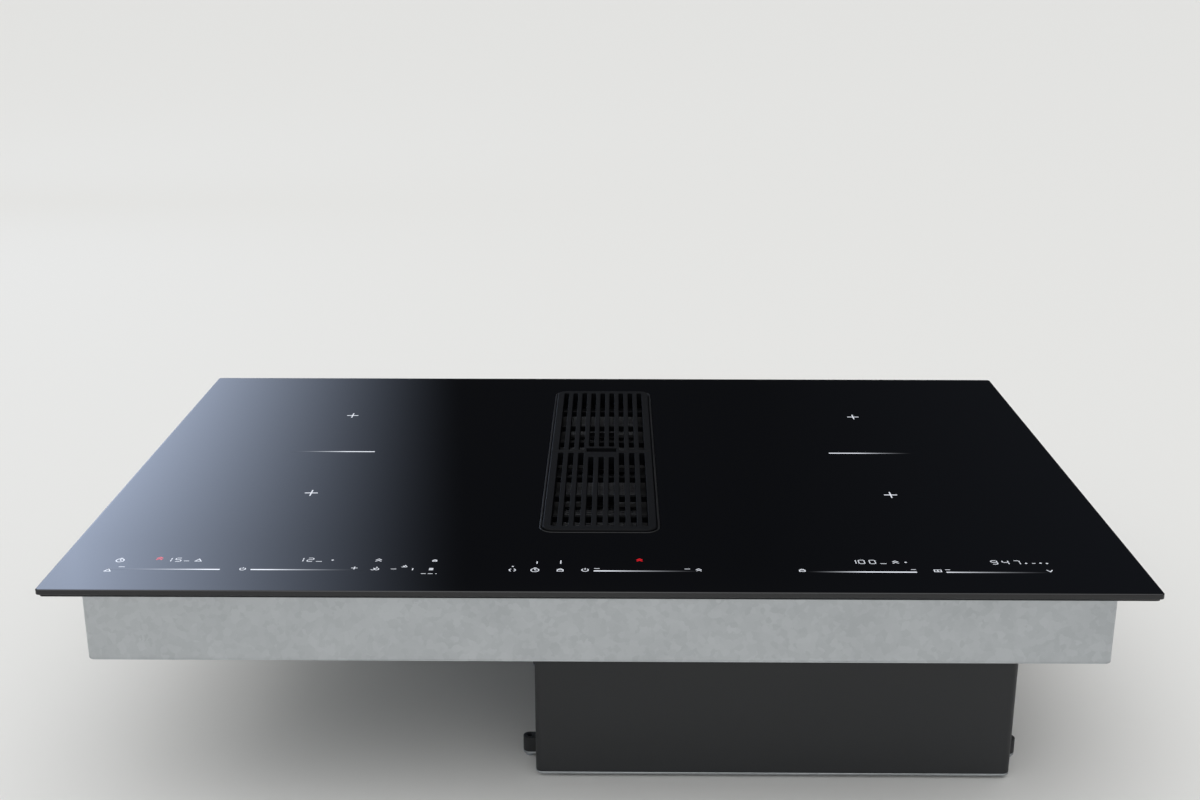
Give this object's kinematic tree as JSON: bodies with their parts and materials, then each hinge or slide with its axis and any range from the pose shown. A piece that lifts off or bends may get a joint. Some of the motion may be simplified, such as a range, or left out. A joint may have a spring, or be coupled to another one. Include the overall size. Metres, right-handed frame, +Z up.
{
  "type": "downdraft induction cooktop",
  "caption": "Frameless black glass induction cooktop with a slotted two-part air intake in the middle, a lift-out filter well, a sheet casing and a blower box with a flat duct outlet below.",
  "frame": {"origin": "middle of the glass plate's plan, on the underside of the rim seal, which is the plane of the worktop it rests on", "axes": "+X to the user's right along the long side, +Y to the back, +Z up; the user stands on the -Y side"},
  "size_m": [0.8, 0.52, 0.216],
  "materials": {
    "glass_ceramic": "gloss black glass ceramic, ground edge",
    "foam_tape": "closed-cell foam tape",
    "silicone": "black silicone",
    "frame_black": "black anodised aluminium, satin",
    "grille_black": "cast aluminium, fine-textured matt black coating",
    "well_plastic": "moulded, satin",
    "filter_aluminium": "folded aluminium sheet, black anodised, satin",
    "expanded_mesh": "expanded aluminium, layered, grey anodised",
    "tray_plastic": "dishwasher-safe moulded plastic",
    "galvanised_steel": "galvanised sheet with spangle",
    "mica": "pressed mica sheet",
    "copper_winding": "enamelled litz wire",
    "former_plastic": "glass-filled moulding",
    "ferrite": "sintered ferrite",
    "sensor_body": "white ceramic cap",
    "carrier_aluminium": "folded sheet",
    "buffer_rubber": "moulded",
    "circuit_board": "solder-masked board",
    "heat_sink_aluminium": "extruded",
    "capacitor_sleeve": "shrink sleeve",
    "fan_plastic": "moulded",
    "light_guide": "frosted clear moulding",
    "terminal_plastic": "moulded, light grey",
    "gland_plastic": "moulded polyamide",
    "blower_plastic": "moulded, lightly grained",
    "scroll_plastic": "moulded",
    "wheel_plastic": "moulded, glass-filled",
    "rotor_steel": "deep-drawn cup",
    "stator_core": "stacked laminations and windings",
    "cast_aluminium": "die cast",
    "bearing_steel": "ground",
    "zinc_steel": "zinc plated"
  },
  "bodies": {
    "root": {"glass_top": "glass_ceramic", "rim_seal": "foam_tape", "inlet_frame": "frame_black", "silicone_seals": "silicone", "intake_well": "well_plastic", "casing_floor": "galvanised_steel", "casing_walls": "galvanised_steel", "coil_front_left": "copper_winding", "coil_rear_left": "copper_winding", "coil_front_right": "copper_winding", "coil_rear_right": "copper_winding", "mica_sheets": "mica", "coil_formers": "former_plastic", "ferrite_bars": "ferrite", "coil_sensors": "sensor_body", "plastic_posts": "former_plastic", "carrier_buffers": "buffer_rubber", "coil_carrier_left": "carrier_aluminium", "coil_carrier_right": "carrier_aluminium", "power_board_left": "circuit_board", "power_board_right": "circuit_board", "heat_sink_left": "heat_sink_aluminium", "heat_sink_right": "heat_sink_aluminium", "fan_housing_left": "fan_plastic", "fan_housing_right": "fan_plastic", "capacitors": "capacitor_sleeve", "chokes": "copper_winding", "touch_board": "circuit_board", "touch_board_holder": "former_plastic", "touch_lights": "light_guide", "terminal_box": "terminal_plastic", "terminal_cover": "terminal_plastic", "cable_gland": "gland_plastic", "blower_box": "blower_plastic", "blower_cover": "galvanised_steel", "scroll_lower": "scroll_plastic", "scroll_upper": "scroll_plastic", "motor_stator": "stator_core", "motor_base": "cast_aluminium", "motor_bearings": "bearing_steel", "motor_dampers": "buffer_rubber", "outlet_spigot": "blower_plastic", "outlet_gasket": "foam_tape", "clamp_brackets": "galvanised_steel", "fixing_screws": "zinc_steel"},
    "drip_tray": {"drip_tray": "tray_plastic"},
    "filter_front": {"filter_frame_front": "filter_aluminium", "filter_mesh_front": "expanded_mesh"},
    "filter_rear": {"filter_frame_rear": "filter_aluminium", "filter_mesh_rear": "expanded_mesh"},
    "grille_front": {"grille_front": "grille_black", "grille_pads_front": "silicone"},
    "grille_rear": {"grille_rear": "grille_black", "grille_pads_rear": "silicone"},
    "blower_wheel": {"impeller": "wheel_plastic", "motor_rotor": "rotor_steel"},
    "fan_left": {"fan_rotor_left": "fan_plastic"},
    "fan_right": {"fan_rotor_right": "fan_plastic"},
    "flap": {"backdraft_flap": "scroll_plastic", "flap_pin": "bearing_steel"}
  },
  "joints": [
    {"name": "tray_lift", "type": "slide", "parent": "root", "child": "drip_tray", "axis": [0, 0, 1], "range_m": [0, 0.18]},
    {"name": "filter_front_lift", "type": "slide", "parent": "drip_tray", "child": "filter_front", "axis": [0, 0, 1], "range_m": [0, 0.05]},
    {"name": "filter_rear_lift", "type": "slide", "parent": "drip_tray", "child": "filter_rear", "axis": [0, 0, 1], "range_m": [0, 0.05]},
    {"name": "grille_front_lift", "type": "slide", "parent": "filter_front", "child": "grille_front", "axis": [0, 0, 1], "range_m": [0, 0.06]},
    {"name": "grille_rear_lift", "type": "slide", "parent": "filter_rear", "child": "grille_rear", "axis": [0, 0, 1], "range_m": [0, 0.06]},
    {"name": "blower_spin", "type": "hinge", "parent": "root", "child": "blower_wheel", "pos_m": [0.17575, -0.005, -0.159], "axis": [0, 0, 1], "continuous": true},
    {"name": "fan_left_spin", "type": "hinge", "parent": "root", "child": "fan_left", "pos_m": [-0.092, -0.193, -0.044], "axis": [0, 0, 1], "continuous": true},
    {"name": "fan_right_spin", "type": "hinge", "parent": "root", "child": "fan_right", "pos_m": [0.092, -0.193, -0.044], "axis": [0, 0, 1], "continuous": true},
    {"name": "flap_swing", "type": "hinge", "parent": "root", "child": "flap", "pos_m": [0.20095, 0.23545, -0.123], "axis": [1, 0, 0], "range_deg": [0, 80]}
  ]
}
